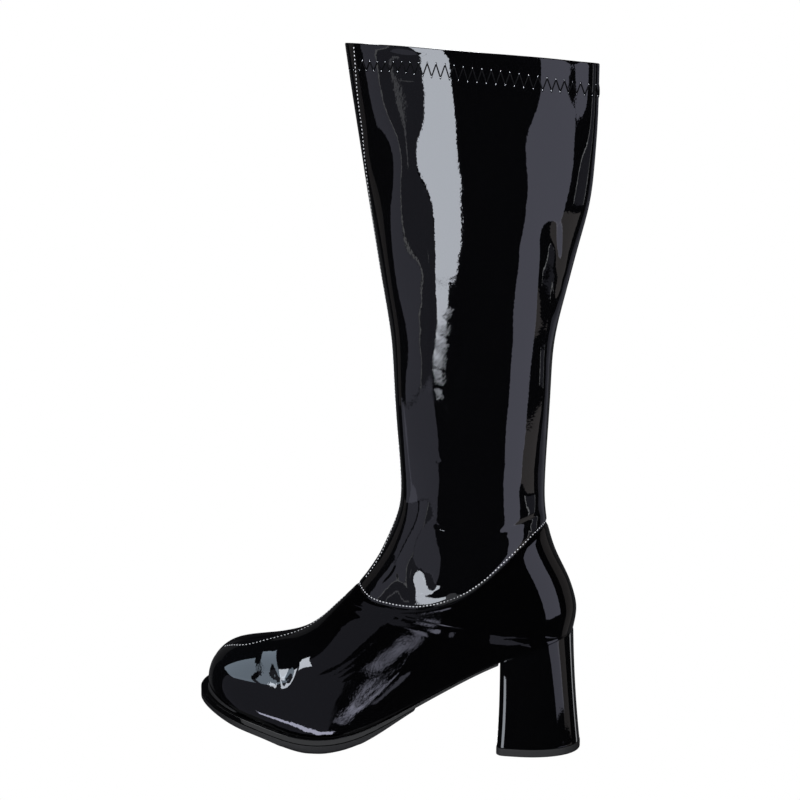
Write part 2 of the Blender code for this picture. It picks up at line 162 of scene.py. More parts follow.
# Zigzag of the hem: x, and the heights of its upper and lower needle points there
HEM_TABLE = [
    (-24.0, 432.2, 426.0), (-5.4, 430.0, 424.7), (10.8, 429.7, 423.8), (25.8, 428.9, 421.3),
    (41.7, 427.5, 419.4), (53.7, 425.7, 417.6), (65.5, 424.5, 416.4), (80.1, 422.7, 415.2),
    (94.6, 420.4, 412.9), (106.1, 418.8, 411.8), (124.0, 416.2, 409.8),
]
HEM_MIDDLE = (50, 0, 422)
ZIGZAG_PITCH = 5.5
ZIGZAG_THREAD = 0.36
PUCKER_SIZE = (2.1, 1.15, 0.9)

# Stitch rows
STITCH_PITCH = 2.35
STITCH_SIZE = (1.25, 0.8, 0.5)
SEAM_TO_STITCH = 1.4

# Stitch rows: y, z down the front of the leg, and x, y over the foot
FRONT_ROW = [
    (-11.6, 440.0), (-10.9, 425.6), (-9.7, 407.7), (-9.2, 389.6), (-7.5, 371.4), (-6.2, 346.9),
    (-5.5, 322), (-5.4, 263.3), (-5.2, 200), (-5.2, 150), (-5.0, 120), (-5.0, 104),
]
VAMP_ROW = [
    (-110.5, -1), (-103, -6), (-95.7, -9), (-88.4, -8.5), (-79.1, -5.4), (-69.6, -3.3), (-57.5, -2.0),
    (-42, -2.0), (-26, -2.0),
]

# Seams pressed into the skins
SEAM_VALLEY_WIDTH = 1.6
SEAM_VALLEY_DEPTH = 0.7
MIDDLE_SEAM_WIDTH = 1.5
MIDDLE_SEAM_DEPTH = 0.45
MIDDLE_SEAM_FACING = 0.55

# Grain of the film: how often each kind repeats in a metre, its depth, and how far streaks are drawn out
DIMPLE_SCALE = 620.0
SWELL_SCALE = 70.0
STREAK_SCALE = 1700.0
STREAK_STRETCH = 6
FILM_RELIEF = 0.00005

# Where the film is finely streaked by bending: x, y, z and reach
WORN_SLANT = 50.0
WORN_DEPTH = 2.0
WORN_PLACES = [
    (42, -30, 280, 6), (40, -30, 270, 8), (38, -29, 260, 9), (37, -29, 250, 9), (36, -29, 240, 9),
    (35, -29, 229, 7), (-79, -29, 51, 5), (-22, -40, 24, 14), (-13, -38, 38, 15), (-4, -35, 50, 15),
    (5, -32, 62, 15), (15, -30, 74, 15), (28, -28, 90, 15),
]

# Soft waves of the leg's outer side, as spline heights in twentieths of a millimetre: the rows go up the leg
# and the columns round it from the front edge to the back edge. The heights weren't designed by hand: another
# program fitted them to the places of the leg's stripes in the photograph.
WAVE_UNIT = 0.05
WAVES_START = 90.0
WAVES_STEP = 14.0
INNER_WAVES = 0.6
LEG_WAVES = [
    "0 0 0 0 0 0 0 -1 -3 -3 -4 -4 -3 -3 -2 0 1 1 1 0 0 0",
    "0 0 0 -1 -1 0 -1 -3 -7 -11 -13 -13 -11 -7 -5 -2 -1 0 0 0 0 0",
    "0 0 0 -1 -1 0 -1 -4 -10 -18 -22 -22 -17 -12 -7 -4 -2 -1 0 0 0 0",
    "0 0 0 0 -1 -1 -2 -5 -12 -22 -28 -26 -21 -15 -9 -6 -4 -3 -1 0 0 0",
    "0 0 0 4 3 -3 -4 -5 -12 -22 -27 -26 -21 -14 -8 -6 -7 -5 -2 0 0 0",
    "0 0 0 10 12 -6 -7 -5 -12 -23 -27 -26 -21 -15 -8 -8 -12 -8 -3 0 0 0",
    "0 0 0 18 24 -5 -7 -5 -12 -23 -28 -26 -21 -16 -6 -8 -15 -9 -4 0 0 0",
    "0 0 0 23 34 7 -4 -7 -12 -22 -29 -26 -21 -16 -7 -7 -10 -7 -3 0 0 0",
    "0 0 0 27 46 20 1 -9 -12 -22 -31 -26 -22 -17 -8 -5 -4 -2 0 0 0 0",
    "0 0 0 28 49 30 5 -10 -13 -21 -33 -26 -22 -18 -7 -5 -1 5 7 0 0 0",
    "0 0 0 27 47 28 6 -7 -11 -25 -34 -27 -22 -20 -7 -8 -2 12 20 0 0 0",
    "0 0 0 24 45 24 4 -6 -7 -30 -33 -25 -21 -20 -6 -6 -3 19 30 0 0 0",
    "0 0 0 20 38 21 7 6 -4 -34 -43 -28 -23 -26 -8 -2 2 26 29 0 0 0",
    "0 0 0 16 29 16 8 0 -2 -19 -42 -30 -25 -30 -12 1 9 26 21 0 0 0",
    "0 0 0 12 21 9 1 -4 -3 -7 -28 -25 -20 -21 -9 3 9 15 10 0 0 0",
    "0 0 0 11 18 3 -9 -8 0 -2 -15 -15 -8 -1 2 8 -5 -4 -1 0 0 0",
    "0 0 0 9 15 1 -13 -13 8 -1 -8 -7 4 15 17 12 -20 -19 -8 0 0 0",
    "0 0 0 8 14 3 -11 -12 5 2 -5 -2 14 30 31 3 -26 -23 -11 0 0 0",
    "0 0 0 5 10 5 -5 -10 0 4 -3 3 22 40 38 -9 -25 -19 -14 0 0 0",
    "0 0 0 0 1 3 3 -6 -1 4 1 10 24 36 31 -9 -12 -13 -19 0 0 0",
    "0 0 0 -4 -11 -11 11 4 1 5 6 14 21 23 17 -6 -6 -6 -20 0 0 0",
    "0 0 0 -6 -19 -29 5 19 7 9 10 16 20 17 3 -11 -16 -10 -17 0 0 0",
    "0 0 0 -6 -17 -28 -2 9 4 10 14 16 18 15 -6 -18 -24 -29 -22 0 0 0",
    "0 0 0 -4 -9 -10 -10 -17 -3 8 17 15 7 3 0 -18 -34 -42 -25 0 0 0",
    "0 0 0 -3 -8 -11 -17 -22 -7 9 18 10 -10 -23 11 -3 -32 -50 -21 0 0 0",
    "0 0 0 -3 -10 -17 -20 -20 -8 9 14 0 -26 -35 8 11 -22 -43 -18 0 0 0",
]


def place(x, y, z):
    """A point given in millimetres, in metres."""
    return Vector((x, y, z)) * MM


def smooth_path(points, steps=12):
    """A smooth line through the points, as an array of closely spaced places."""
    points = np.asarray(points, float)
    before = np.vstack([2 * points[0] - points[1], points, 2 * points[-1] - points[-2]])
    line = []
    for i in range(len(points) - 1):
        a, b, c, d = before[i:i + 4]
        for t in np.arange(steps) / steps:
            line.append(0.5 * (2 * b + (c - a) * t + (2 * a - 5 * b + 4 * c - d) * t ** 2
                               + (3 * b - a - 3 * c + d) * t ** 3))
    line.append(points[-1])
    return np.array(line)


def spaced(line, pitch, offset=0.0):
    """Places at even distances along a line."""
    line = np.asarray(line, float)
    lengths = np.concatenate([[0], np.cumsum(np.linalg.norm(np.diff(line, axis=0), axis=1))])
    marks = np.arange(offset, lengths[-1], pitch)
    return np.stack([np.interp(marks, lengths, line[:, k]) for k in range(line.shape[1])], axis=1)


# Making meshes

def joined_copy(node):
    """A CAD node's mesh with its points merged and each pair of triangles joined into one face."""
    form = bmesh.new()
    form.from_mesh(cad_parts[node].data)
    bmesh.ops.remove_doubles(form, verts=form.verts, dist=MERGE * MM)
    bmesh.ops.join_triangles(form, faces=form.faces, angle_face_threshold=math.pi,
                             angle_shape_threshold=math.pi)
    left = [edge for edge in form.edges if all(len(face.verts) == 3 for face in edge.link_faces)]
    left.sort(key=lambda edge: -edge.calc_length())
    taken = set()
    halves = []
    for edge in left:
        if not taken.intersection(edge.link_faces):
            taken.update(edge.link_faces)
            halves.append(edge)
    bmesh.ops.dissolve_edges(form, edges=halves, use_verts=False, use_face_split=False)
    return form


def gentle_patches(form):
    """Lists of faces that hang together without a sharp edge between them, the largest first."""
    seen = set()
    patches = []
    for first in form.faces:
        if first in seen:
            continue
        seen.add(first)
        patch = [first]
        for face in patch:
            for edge in face.edges:
                if len(edge.link_faces) == 2 and edge.calc_face_angle() < SHARP:
                    for near in edge.link_faces:
                        if near not in seen:
                            seen.add(near)
                            patch.append(near)
        patches.append(patch)
    return sorted(patches, key=lambda patch: -sum(face.calc_area() for face in patch))


def wall_skin(node, inside=False):
    """One side of a node's wall: its outside, or its inside."""
    form = joined_copy(node)
    keep = set(gentle_patches(form)[1 if inside else 0])
    bmesh.ops.delete(form, geom=[face for face in form.faces if face not in keep], context="FACES")
    return form


def points_of(mesh):
    """The vertices' places, as an array."""
    values = np.empty(len(mesh.vertices) * 3)
    mesh.vertices.foreach_get("co", values)
    return values.reshape(-1, 3)


def normals_of(mesh):
    """The vertices' normals, as an array."""
    values = np.empty(len(mesh.vertices) * 3)
    mesh.vertex_normals.foreach_get("vector", values)
    return values.reshape(-1, 3)


def set_points(mesh, points):
    """Moves the vertices."""
    mesh.vertices.foreach_set("co", points.ravel())
    mesh.update()


def made_fine(name, form, levels):
    """A fine mesh whose smooth surface runs through the form's own points."""
    rough = bpy.data.meshes.new(name + "_rough")
    form.to_mesh(rough)
    form.free()
    holder = bpy.data.objects.new(name + "_rough", rough)
    bpy.context.scene.collection.objects.link(holder)
    smooth = holder.modifiers.new("smooth", "SUBSURF")
    goal = points_of(rough)
    here = goal.copy()
    for level in [1] * FIT_ROUNDS + [levels]:
        smooth.levels = level
        smooth.render_levels = level
        shown = holder.evaluated_get(bpy.context.evaluated_depsgraph_get())
        if level == levels:
            break
        here += goal - points_of(shown.data)[:len(goal)]
        set_points(rough, here)
    fine = bpy.data.meshes.new_from_object(shown)
    fine.name = name
    bpy.data.objects.remove(holder)
    bpy.data.meshes.remove(rough)
    return fine


def new_piece(name, mesh, material, slot, *nodes):
    """A piece of the boot, with its finish, that may stand for CAD nodes."""
    mesh.materials.clear()
    mesh.materials.append(material)
    mesh.shade_smooth()
    piece = bpy.data.objects.new(name, mesh)
    bpy.context.scene.collection.objects.link(piece)
    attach(piece, "root")
    if nodes:
        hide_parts(*nodes)
    return piece


def mesh_of(name, form):
    """A mesh from a bmesh."""
    mesh = bpy.data.meshes.new(name)
    form.to_mesh(mesh)
    form.free()
    return mesh


# Materials

def group_with(name, inputs, outputs):
    """An empty shader node group with named sockets."""
    group = bpy.data.node_groups.new(name, "ShaderNodeTree")
    for label, kind, value in inputs:
        socket = group.interface.new_socket(label, in_out="INPUT", socket_type=kind)
        socket.default_value = value
    for label, kind in outputs:
        group.interface.new_socket(label, in_out="OUTPUT", socket_type=kind)
    start = group.nodes.new("NodeGroupInput")
    end = group.nodes.new("NodeGroupOutput")
    return group, start, end


def math_node(tree, operation, first, second):
    """A Math node fed by sockets or numbers."""
    node = tree.nodes.new("ShaderNodeMath")
    node.operation = operation
    for slot, value in zip(node.inputs, (first, second)):
        if isinstance(value, (int, float)):
            slot.default_value = value
        else:
            tree.links.new(value, slot)
    return node.outputs[0]


def noise(tree, vector, scale, detail, roughness=0.5):
    """A Noise texture's value."""
    node = tree.nodes.new("ShaderNodeTexNoise")
    node.inputs["Detail"].default_value = detail
    node.inputs["Roughness"].default_value = roughness
    node.inputs["Scale"].default_value = scale
    tree.links.new(vector, node.inputs["Vector"])
    return node.outputs["Fac"]


def build_peel():
    """Orange peel of a patent coat: fine dimples, a slow swell under them, and streaks where it bends."""
    group, start, end = group_with(
        "patent_peel",
        [("Vector", "NodeSocketVector", (0, 0, 0)), ("Dimples", "NodeSocketFloat", 0.3),
         ("Swell", "NodeSocketFloat", 1.0)],
        [("Height", "NodeSocketFloat")],
    )
    vector = start.outputs["Vector"]
    dimples = math_node(group, "MULTIPLY", noise(group, vector, DIMPLE_SCALE, 1.0), start.outputs["Dimples"])
    swell = math_node(group, "MULTIPLY", noise(group, vector, SWELL_SCALE, 0.0), start.outputs["Swell"])
    worn = None
    for x, y, z, reach in WORN_PLACES:
        gap = group.nodes.new("ShaderNodeVectorMath")
        gap.operation = "DISTANCE"
        gap.inputs[1].default_value = place(x, y, z)
        group.links.new(vector, gap.inputs[0])
        fade = group.nodes.new("ShaderNodeMapRange")
        fade.interpolation_type = "SMOOTHSTEP"
        fade.inputs["From Min"].default_value = reach * MM
        fade.inputs["From Max"].default_value = 0.0
        group.links.new(gap.outputs["Value"], fade.inputs["Value"])
        here = fade.outputs["Result"]
        worn = math_node(group, "MAXIMUM", worn, here) if worn else here
    stretch = group.nodes.new("ShaderNodeMapping")
    stretch.vector_type = "TEXTURE"
    stretch.inputs["Rotation"].default_value = (0, -math.radians(WORN_SLANT), 0)
    stretch.inputs["Scale"].default_value = (STREAK_STRETCH, 1, 1)
    group.links.new(vector, stretch.inputs["Vector"])
    streaks = noise(group, stretch.outputs["Vector"], STREAK_SCALE, 1.0)
    streaks = math_node(group, "MULTIPLY", streaks, WORN_DEPTH)
    streaks = math_node(group, "MULTIPLY", streaks, worn)
    even = math_node(group, "ADD", dimples, swell)
    group.links.new(math_node(group, "ADD", even, streaks), end.inputs["Height"])
    return group


def build_knit():
    """Fine ribs of a knitted lining, their height, and a painted shade that darkens their grooves and
    lightens their tops.
    """
    group, start, end = group_with(
        "knit_ribs",
        [("Vector", "NodeSocketVector", (0, 0, 0)), ("Scale", "NodeSocketFloat", 900.0)],
        [("Height", "NodeSocketFloat"), ("Shade", "NodeSocketFloat")],
    )
    wave = group.nodes.new("ShaderNodeTexWave")
    wave.wave_type = "BANDS"
    wave.bands_direction = "Z"
    wave.inputs["Distortion"].default_value = 1.5
    wave.inputs["Detail"].default_value = 1.0
    group.links.new(start.outputs["Vector"], wave.inputs["Vector"])
    group.links.new(start.outputs["Scale"], wave.inputs["Scale"])
    cross = noise(group, start.outputs["Vector"], 1400.0, 1.0)
    height = math_node(group, "ADD", wave.outputs["Fac"], cross)
    group.links.new(height, end.inputs["Height"])
    group.links.new(math_node(group, "MULTIPLY", height, 0.5), end.inputs["Shade"])
    return group


PEEL = build_peel()
KNIT = build_knit()


def new_material(name, color, roughness, **sockets):
    """A Principled material with plain values on its sockets."""
    material = bpy.data.materials.new(name)
    material.use_nodes = True
    material.diffuse_color = (*color, 1.0)
    shader = material.node_tree.nodes["Principled BSDF"]
    shader.inputs["Base Color"].default_value = (*color, 1.0)
    shader.inputs["Roughness"].default_value = roughness
    for label, value in sockets.items():
        shader.inputs[label.replace("_", " ")].default_value = value
    return material, shader


def object_place(material):
    """The Object coordinates of a material."""
    node = material.node_tree.nodes.new("ShaderNodeTexCoord")
    return node.outputs["Object"]


def bump(material, height, distance):
    """The normal that a height gives, for the shader's Normal."""
    tree = material.node_tree
    node = tree.nodes.new("ShaderNodeBump")
    node.inputs["Distance"].default_value = distance
    tree.links.new(height, node.inputs["Height"])
    return node.outputs["Normal"]


def patent(name, dimples, swell):
    """Black glossy patent."""
    material, shader = new_material(
        name, (0.0012, 0.0012, 0.0014), 0.25,
        Specular_IOR_Level=0.0, Coat_Weight=1.0, Coat_Roughness=0.025, Coat_IOR=1.52)
    tree = material.node_tree
    peel = tree.nodes.new("ShaderNodeGroup")
    peel.node_tree = PEEL
    peel.inputs["Dimples"].default_value = dimples
    peel.inputs["Swell"].default_value = swell
    tree.links.new(object_place(material), peel.inputs["Vector"])
    normal = bump(material, peel.outputs["Height"], FILM_RELIEF)
    tree.links.new(normal, shader.inputs["Normal"])
    tree.links.new(normal, shader.inputs["Coat Normal"])
    return material


def grained(name, color, roughness, scale, depth):
    """A dull material with a fine grain."""
    material, shader = new_material(name, color, roughness, Specular_IOR_Level=0.4)
    tree = material.node_tree
    where = object_place(material)
    grain = noise(tree, where, scale, 4.0, 0.6)
    tree.links.new(bump(material, grain, depth), shader.inputs["Normal"])
    rough = math_node(tree, "MULTIPLY", grain, 0.3)
    tree.links.new(math_node(tree, "ADD", rough, roughness - 0.15), shader.inputs["Roughness"])
    return material


def knitted(name, color):
    """Matt knitted lining, its colour darker in the ribs' grooves and lighter on their tops as painted shade.
    """
    material, shader = new_material(name, color, 0.9, Specular_IOR_Level=0.25)
    tree = material.node_tree
    ribs = tree.nodes.new("ShaderNodeGroup")
    ribs.node_tree = KNIT
    tree.links.new(object_place(material), ribs.inputs["Vector"])
    tree.links.new(bump(material, ribs.outputs["Height"], 0.0002), shader.inputs["Normal"])
    # Painted shade: the rib height darkens the colour in the grooves and lightens it on the tops
    mix = tree.nodes.new("ShaderNodeMix")
    mix.data_type = "RGBA"
    mix.inputs["A"].default_value = (*[value * 0.6 for value in color], 1.0)
    mix.inputs["B"].default_value = (*[value * 1.3 for value in color], 1.0)
    tree.links.new(ribs.outputs["Shade"], mix.inputs["Factor"])
    tree.links.new(mix.outputs["Result"], shader.inputs["Base Color"])
    return material


PATENT = patent("patent_skin", 0.25, 0.8)
HEEL_PATENT = patent("heel_cover_patent", 0.15, 0.6)
RUBBER = grained("sole_rubber", (0.012, 0.012, 0.013), 0.5, 1200.0, 0.00006)
LIFT_RUBBER = grained("lift_rubber", (0.018, 0.018, 0.019), 0.6, 900.0, 0.00008)
WELT = patent("welt_gloss", 0.4, 0.3)
LINING = knitted("knit_lining", (0.03, 0.03, 0.032))
SOCK = knitted("sock_knit", (0.05, 0.045, 0.042))
# Painted highlight: the seam thread is near white so it stands for the glints on the stitches
GLINT_PAINTED_THREAD, _ = new_material("seam_thread_painted_glints", (0.85, 0.85, 0.87), 0.4)
DARK_THREAD, _ = new_material("hem_thread", (0.004, 0.004, 0.005), 0.45, Specular_IOR_Level=0.08)


# Shaping the skins

def tree_of(mesh):
    """A search tree over a mesh's surface."""
    places = [tuple(vertex.co) for vertex in mesh.vertices]
    return BVHTree.FromPolygons(places, [tuple(face.vertices) for face in mesh.polygons])


def side_line(tree, side, points):
    """A smooth line on a skin seen from the outer or the inner side, through places given as x, z."""
    found = [tree.ray_cast(place(x, side * FAR_OFF, z), Vector((0, -side, 0)))[0]
             for x, z in smooth_path(points, 10)]
    return np.array([spot for spot in found if spot]) / MM


def nearness(points, line, width, taper):
    """1 for points on the line, falling off softly across it and, when tapered, towards its ends."""
    low = line.min(axis=0) - 3 * width
    high = line.max(axis=0) + 3 * width
    close = np.nonzero(np.all((points > low) & (points < high), axis=1))[0]
    result = np.zeros(len(points))
    length = np.linalg.norm(np.diff(line, axis=0), axis=1).sum()
    line = spaced(line, length / max(2, round(length / width)) - 1e-9)
    starts = line[:-1]
    steps = np.diff(line, axis=0)
    away = points[close][:, None] - starts[None]
    share = np.clip((away * steps).sum(axis=2) / (steps ** 2).sum(axis=1), 0, 1)
    gaps = np.linalg.norm(away - share[:, :, None] * steps, axis=2)
    nearest = gaps.argmin(axis=1)
    result[close] = np.exp(-(gaps.min(axis=1) / width) ** 2)
    if taper:
        along = (nearest + share[np.arange(len(nearest)), nearest]) / len(starts)
        result[close] *= np.sin(np.pi * np.clip(along, 0.02, 0.98)) ** taper
    return result


def spline_weights(where, count):
    """Cubic spline weights of count heights at each place, which runs from 0 to count - 3."""
    where = np.clip(where, 0, count - 3 - 1e-6)
    first = where.astype(int)
    t = where - first
    shares = [(1 - t) ** 3 / 6, (3 * t ** 3 - 6 * t ** 2 + 4) / 6,
              (-3 * t ** 3 + 3 * t ** 2 + 3 * t + 1) / 6, t ** 3 / 6]
    weights = np.zeros((len(where), count))
    for step, share in enumerate(shares):
        weights[np.arange(len(where)), first + step] = share
    return weights


def leg_waves(points):
    """The height of the soft waves at each point of the leg; the inner side has calmer ones."""
    heights = np.arange(points[:, 2].min(), points[:, 2].max(), 4.0)
    near = [points[np.abs(points[:, 2] - height) < 5] for height in heights]
    front = np.interp(points[:, 2], heights, [band[:, 0].min() for band in near])
    back = np.interp(points[:, 2], heights, [band[:, 0].max() for band in near])
    half = np.interp(points[:, 2], heights, [np.abs(band[:, 1]).max() for band in near])
    along = (points[:, 0] - (front + back) / 2) / ((back - front) / 2)
    round_leg = np.arctan2(np.abs(points[:, 1]) / half, -along) / math.pi
    table = np.array([[int(word) for word in row.split()] for row in LEG_WAVES]) * WAVE_UNIT
    up = (points[:, 2] - WAVES_START) / WAVES_STEP
    across = spline_weights(round_leg * (table.shape[1] - 3), table.shape[1])
    outer = np.einsum("ij,jk,ik->i", spline_weights(up, len(table)), table, across)
    inner = np.einsum("ij,jk,ik->i", spline_weights(len(table) - 3 - up, len(table)), table, across)
    return np.where(points[:, 1] < 0, outer, inner * INNER_WAVES)


def open_edges(form, heights):
    """The open edges of a wall whose middle lies between two heights, in millimetres."""
    lowest, highest = heights
    return [edge for edge in form.edges if edge.is_boundary
            and lowest * MM < (edge.verts[0].co.z + edge.verts[1].co.z) / 2 < highest * MM]


def ordered_loop(edges):
    """The vertices along a closed row of edges, in order."""
    left = set(edges)
    vertex = edges[0].verts[0]
    loop = []
    while True:
        edge = next((item for item in vertex.link_edges if item in left), None)
        if edge is None:
            return loop
        left.discard(edge)
        loop.append(vertex)
        vertex = edge.other_vert(vertex)


def column_from(vertex, count):
    """The places and normals straight down a wall from a vertex on its open edge, that vertex first."""
    column = [(vertex.co.copy(), vertex.normal.copy())]
    edge = next(item for item in vertex.link_edges if not item.is_boundary)
    while len(column) < count:
        vertex = edge.other_vert(vertex)
        column.append((vertex.co.copy(), vertex.normal.copy()))
        beside = set(edge.link_faces)
        ahead = [item for item in vertex.link_edges if not beside.intersection(item.link_faces)]
        if not ahead:
            break
        edge = ahead[0]
    return column


def turn_in(form, edges, thickness, rows):
    """Rolls an open edge inwards and back along the inside of the wall, as a folded hem or a skived lip."""
    routes = {}
    for vertex in {vertex for edge in edges for vertex in edge.verts}:
        column = column_from(vertex, rows + 1)
        outwards = column[0][1] * thickness * MM / 2
        up = (column[0][0] - column[1][0]).normalized() * thickness * MM / 2
        centre = vertex.co - outwards
        angles = [math.pi * (step + 1) / ROLL_STEPS for step in range(ROLL_STEPS)]
        route = [centre + outwards * math.cos(angle) + up * math.sin(angle) for angle in angles]
        route += [spot - normal * thickness * MM for spot, normal in column[1:]]
        routes[vertex] = route
    for step in range(ROLL_STEPS + rows):
        made = bmesh.ops.extrude_edge_only(form, edges=edges)["geom"]
        fresh = {item for item in made if isinstance(item, bmesh.types.BMVert)}
        edges = [item for item in made if isinstance(item, bmesh.types.BMEdge)
                 and item.verts[0] in fresh and item.verts[1] in fresh]
        moved = {}
        for vertex in fresh:
            parent = next(edge.other_vert(vertex) for edge in vertex.link_edges
                          if edge.other_vert(vertex) in routes)
            moved[vertex] = routes[parent]
            vertex.co = routes[parent][min(step, len(routes[parent]) - 1)]
        routes = moved


# Folds worn into the skins: name, side, width, height (a trough is below zero), how soon it tapers off
# towards its ends, and its places as x, z
SHAFT_FOLDS = [
    ("calf hollow", OUTER, 4.2, -0.75, 0.8,
     [(104.9, 336.9), (105.5, 324.3), (106.1, 310.9), (104.9, 293.7), (102.5, 276.4)]),
    ("calf crest", OUTER, 3.5, 0.25, 0.8, [(96.3, 332.9), (95.8, 318.5), (95.4, 294.3), (94.2, 269.7)]),
    ("front dent", OUTER, 5.5, -0.35, 0.8, [(-6.8, 384.8), (-5.6, 372.7), (-4.5, 360.6)]),
    ("ankle crease", OUTER, 1.7, -0.75, 0.8,
     [(72.6, 144.2), (78.0, 146.3), (84.4, 148.6), (91.2, 151.2), (97.2, 153.2)]),
    ("ankle roll", OUTER, 4.2, 0.55, 0.8, [(71.5, 135.5), (78.7, 136.5), (85.7, 139.2), (91.9, 144.6)]),
    ("ankle crease front", OUTER, 1.5, -0.40, 0.8,
     [(58.0, 139.0), (62.3, 141.1), (67.2, 142.7), (71.4, 144.2)]),
    ("ankle crease low", OUTER, 1.5, -0.25, 0.8, [(64.3, 126.0), (69.2, 128.6), (74.0, 130.4)]),
    ("ankle dent", OUTER, 1.3, -0.22, 0.8, [(31.8, 147.8), (36.4, 146.4), (42.3, 145.0)]),
    ("instep crease", OUTER, 1.3, -0.30, 0.8, [(6.0, 120.4), (3.4, 114.5), (-1.3, 108.7), (-5.7, 104.1)]),
    ("instep crease short", OUTER, 1.2, -0.25, 0.8, [(7.6, 114.5), (8.7, 112.8), (10.5, 110.6)]),
    ("shin swell", OUTER, 30.0, 1.20, 0.0, [(12.0, 232.0), (30.0, 233.0), (54.0, 233.0), (80.0, 233.0)]),
    ("ankle swell", OUTER, 7.0, 1.00, 0.0, [(19.0, 105.0), (17.5, 110.0)]),
    ("shin calm", OUTER, 13.0, -0.45, 0.0, [(47.0, 231.0), (56.0, 231.0), (72.0, 231.0)]),
    ("ankle ridge", OUTER, 5.0, 0.35, 0.3, [(33.0, 104.0), (34.5, 112.0), (36.0, 122.0), (38.0, 132.0)]),
    ("ankle hollow", OUTER, 12.0, -0.70, 0.0, [(42.0, 104.0), (50.0, 106.0), (60.0, 113.0), (68.0, 124.0)]),
    ("seam hollow", OUTER, 9.0, -0.45, 0.2, [(30.0, 100.0), (36.0, 101.5), (42.0, 103.5), (50.0, 107.0)]),
    ("seam roll", OUTER, 3.0, 0.30, 0.5, [(24.0, 103.5), (32.0, 104.5), (40.0, 108.0), (48.0, 112.0)]),
    ("shin dent", OUTER, 1.4, -0.20, 0.8, [(31.7, 189.4), (34.4, 188.4), (37.6, 187.4)]),
]
UPPER_FOLDS = [
    ("toe ridge", OUTER, 4.5, 1.00, 0.5,
     [(-103.5, 46.6), (-96.2, 44.5), (-84.1, 42.0), (-73.9, 40.2), (-63.9, 39.8), (-56.9, 43.2),
      (-53.8, 50.2), (-50.1, 57.0)]),
    ("toe wedge", OUTER, 4.0, 0.25, 0.3, [(-71.5, 60.0), (-68.0, 53.0), (-63.5, 44.5)]),
    ("toe wrinkle", OUTER, 1.2, -0.25, 0.8, [(-63.1, 55.8), (-57.4, 58.4), (-51.4, 61.1), (-49.0, 65.8)]),
    ("toe wrinkle high", OUTER, 1.2, -0.20, 0.8,
     [(-68.8, 59.5), (-63.1, 62.2), (-57.7, 65.2), (-47.7, 70.6)]),
    ("waist fold", OUTER, 2.4, -0.35, 0.8,
     [(-18.4, 28.6), (-10.4, 37.1), (-3.7, 43.4), (4.2, 50.6), (11.5, 58.9), (18.2, 68.1)]),
]


def pressed(mesh, seam, folds, waves=None):
    """Presses seams, folds and waves into a skin."""
    tree = tree_of(mesh)
    points = points_of(mesh) / MM
    normals = normals_of(mesh)
    rise = -SEAM_VALLEY_DEPTH * nearness(points, seam, SEAM_VALLEY_WIDTH, 0)
    middle = np.exp(-(points[:, 1] / MIDDLE_SEAM_WIDTH) ** 2)
    facing = np.abs(normals[:, 0]) + np.maximum(normals[:, 2], 0)
    rise -= MIDDLE_SEAM_DEPTH * middle * np.clip((facing - MIDDLE_SEAM_FACING) * 4, 0, 1)
    if waves:
        rise += waves(points)
    for _, side, width, height, taper, places in folds:
        rise += height * nearness(points, side_line(tree, side, places), width, taper)
    set_points(mesh, (points + normals * rise[:, None]) * MM)


def skin_form(mesh):
    """A bmesh of a finished skin, with its normals."""
    form = bmesh.new()
    form.from_mesh(mesh)
    form.normal_update()
    return form


def make_shaft():
    """The leg part: its skin with the folded hem and the lip at the ankle, and the line of its seam."""
    mesh = made_fine("shaft_skin", wall_skin("shaft"), SKIN_LEVELS)
    form = skin_form(mesh)
    seam = np.array([vertex.co for vertex in ordered_loop(open_edges(form, ANKLE_HEIGHTS))]) / MM
    form.free()
    seam = np.vstack([seam, seam[:1]])
    pressed(mesh, seam, SHAFT_FOLDS, leg_waves)
    form = skin_form(mesh)
    turn_in(form, open_edges(form, TOPLINE_HEIGHTS), HEM_THICKNESS, HEM_ROWS)
    turn_in(form, open_edges(form, ANKLE_HEIGHTS), LIP_THICKNESS, 1)
    form.to_mesh(mesh)
    form.free()
    return new_piece("patent_shaft", mesh, PATENT, "patent", "shaft"), seam


def make_upper(seam):
    """The foot part: its skin with the lip at the ankle."""
    mesh = made_fine("upper_skin", wall_skin("upper"), SKIN_LEVELS)
    pressed(mesh, seam, UPPER_FOLDS)
    form = skin_form(mesh)
    turn_in(form, open_edges(form, COLLAR_HEIGHTS), LIP_THICKNESS, 1)
    form.to_mesh(mesh)
    form.free()
    return new_piece("patent_upper", mesh, PATENT, "patent", "upper")


def make_lining(name, node, highest):
    """The knitted lining of a wall, up to a slanting height at the front."""
    form = wall_skin(node, inside=True)
    if highest:
        (x_front, z_front), (x_back, z_back) = TOPLINE_FRONT, TOPLINE_BACK
        across = Vector((z_front - z_back, 0, x_back - x_front)).normalized()
        bmesh.ops.bisect_plane(form, geom=form.verts[:] + form.edges[:] + form.faces[:], clear_outer=True,
                               plane_co=place(x_front, 0, z_front - highest), plane_no=across)
    mesh = made_fine(name, form, LINING_LEVELS)
    if highest:
        points = points_of(mesh) / MM
        set_points(mesh, (points - normals_of(mesh) * leg_waves(points)[:, None]) * MM)
    lining = new_piece(name, mesh, LINING, "sock_lining")
    wall = lining.modifiers.new("wall", "SOLIDIFY")
    wall.thickness = LINING_THICKNESS * MM
    wall.offset = -1
    return lining


def make_plate(name, node, material, slot, edge):
    """A sole plate or block: the CAD form with its sharp edges rounded."""
    form = joined_copy(node)
    sharp = [item for item in form.edges if len(item.link_faces) == 2 and item.calc_face_angle() > SHARP]
    bmesh.ops.bevel(form, geom=sharp, offset=edge * MM, segments=EDGE_SEGMENTS, profile=0.5, affect="EDGES",
                    material=-1, clamp_overlap=True)
    piece = new_piece(name, mesh_of(name, form), material, slot, node)
    smooth = piece.modifiers.new("smooth", "SUBSURF")
    smooth.levels = PLATE_LEVELS
    smooth.render_levels = PLATE_LEVELS
    return piece


